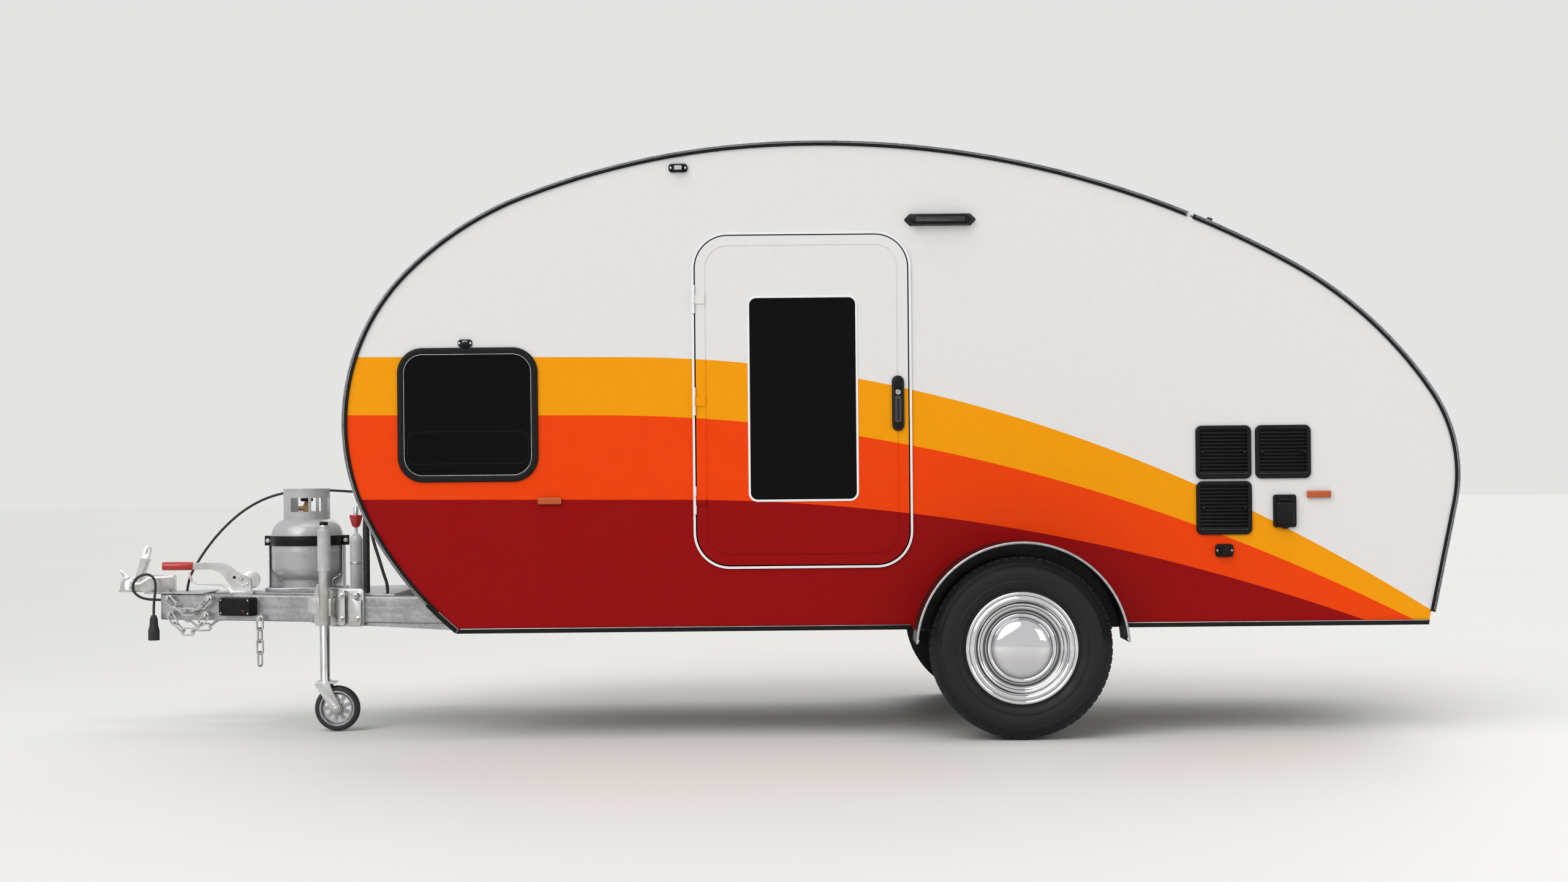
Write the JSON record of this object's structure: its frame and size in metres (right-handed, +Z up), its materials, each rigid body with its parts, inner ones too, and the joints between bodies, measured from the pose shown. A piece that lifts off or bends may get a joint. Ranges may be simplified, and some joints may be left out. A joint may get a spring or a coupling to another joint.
{
  "type": "teardrop camper trailer",
  "caption": "Teardrop camper trailer with side doors, lifting rear hatch, single axle under half-round guards, A-frame drawbar with ball coupling, gas bottle and jockey wheel.",
  "frame": {"origin": "middle of the object's box at ground level", "axes": "+X towards the rear, +Y towards the right-hand side, +Z up"},
  "size_m": [5.0207, 2.064, 2.1435],
  "materials": {
    "amber_lens": "amber lens",
    "black_trim": "satin black",
    "body_paint": "gloss white with broad stripes",
    "bottle_paint": "grey enamel",
    "chassis_paint": "satin dark grey",
    "chrome": "polished",
    "dark_glass": "tinted",
    "extinguisher_paint": "enamel",
    "floor_board": "sealed ply",
    "frame_white": "gloss",
    "galvanised": "spangled zinc",
    "guard_black": "gloss black",
    "lamp_lens": "clear lens",
    "red_lens": "red lens",
    "rubber": "moulded",
    "tyre": "moulded",
    "wheel_steel": "silver",
    "white_paint": "gloss white",
    "zinc": "bright zinc"
  },
  "bodies": {
    "trailer": {"arched_cable": "rubber", "axle_beam": "chassis_paint", "body_trims": "black_trim", "bottle_holder": "galvanised", "bottle_strap": "rubber", "breakaway_box": "black_trim", "chain_studs": "galvanised", "chassis_rails": "chassis_paint", "coupling_head": "zinc", "coupling_lever": "zinc", "crossmembers": "chassis_paint", "door_frames": "frame_white", "drawbar_chains": "zinc", "drawbar_left": "galvanised", "drawbar_plates": "galvanised", "drawbar_right": "galvanised", "fire_extinguisher": "extinguisher_paint", "floor_panel": "floor_board", "fridge_vents": "black_trim", "front_conduit": "rubber", "gas_bottle": "bottle_paint", "handbrake": "zinc", "hatch_hinge": "zinc", "jockey_clamp": "galvanised", "jockey_tube": "galvanised", "lead_plug": "rubber", "leaf_springs": "chassis_paint", "mudguard_left": "guard_black", "mudguard_right": "guard_black", "nose_lead": "rubber", "plug_lead": "rubber", "roof_skin": "white_paint", "service_inlets": "black_trim", "side_markers": "amber_lens", "side_wall_left": "body_paint", "side_wall_right": "body_paint", "spring_hangers": "chassis_paint", "wall_lamps": "lamp_lens", "window_frames": "black_trim", "window_panes": "dark_glass"},
    "rear_hatch": {"rear_hatch": "white_paint", "hatch_trims": "black_trim", "tail_lamps": "red_lens", "hatch_handle": "zinc"},
    "door_left": {"door_left": "body_paint", "door_glass_left": "dark_glass", "door_handle_left": "black_trim"},
    "door_right": {"door_right": "body_paint", "door_glass_right": "dark_glass", "door_handle_right": "black_trim"},
    "wheel_left": {"tyre_left": "tyre", "wheel_left": "wheel_steel", "hubcap_left": "chrome"},
    "wheel_right": {"tyre_right": "tyre", "wheel_right": "wheel_steel", "hubcap_right": "chrome"},
    "jockey_leg": {"jockey_fork": "galvanised"},
    "jockey_wheel": {"jockey_rim": "zinc", "jockey_tyre": "rubber"}
  },
  "joints": [
    {"name": "wheel_left_spin", "type": "hinge", "parent": "trailer", "child": "wheel_left", "pos_m": [0.912, -0.905, 0.325], "axis": [0, 1, 0], "continuous": true},
    {"name": "wheel_right_spin", "type": "hinge", "parent": "trailer", "child": "wheel_right", "pos_m": [0.912, 0.905, 0.325], "axis": [0, 1, 0], "continuous": true},
    {"name": "door_left_hinge", "type": "hinge", "parent": "trailer", "child": "door_left", "pos_m": [-0.24, -0.7945, 1.21], "axis": [0, 0, -1], "range_deg": [0, 110]},
    {"name": "door_right_hinge", "type": "hinge", "parent": "trailer", "child": "door_right", "pos_m": [-0.24, 0.7945, 1.21], "axis": [0, 0, 1], "range_deg": [0, 110]},
    {"name": "hatch_lift", "type": "hinge", "parent": "trailer", "child": "rear_hatch", "pos_m": [1.55416, 0, 1.87507], "axis": [0, -1, 0], "range_deg": [0, 70]},
    {"name": "jockey_swivel", "type": "hinge", "parent": "trailer", "child": "jockey_leg", "pos_m": [-1.641, -0.40361, 0.3], "axis": [0, 0, 1], "continuous": true},
    {"name": "jockey_wheel_spin", "type": "hinge", "parent": "jockey_leg", "child": "jockey_wheel", "pos_m": [-1.595, -0.40361, 0.085], "axis": [0, 1, 0], "continuous": true}
  ]
}
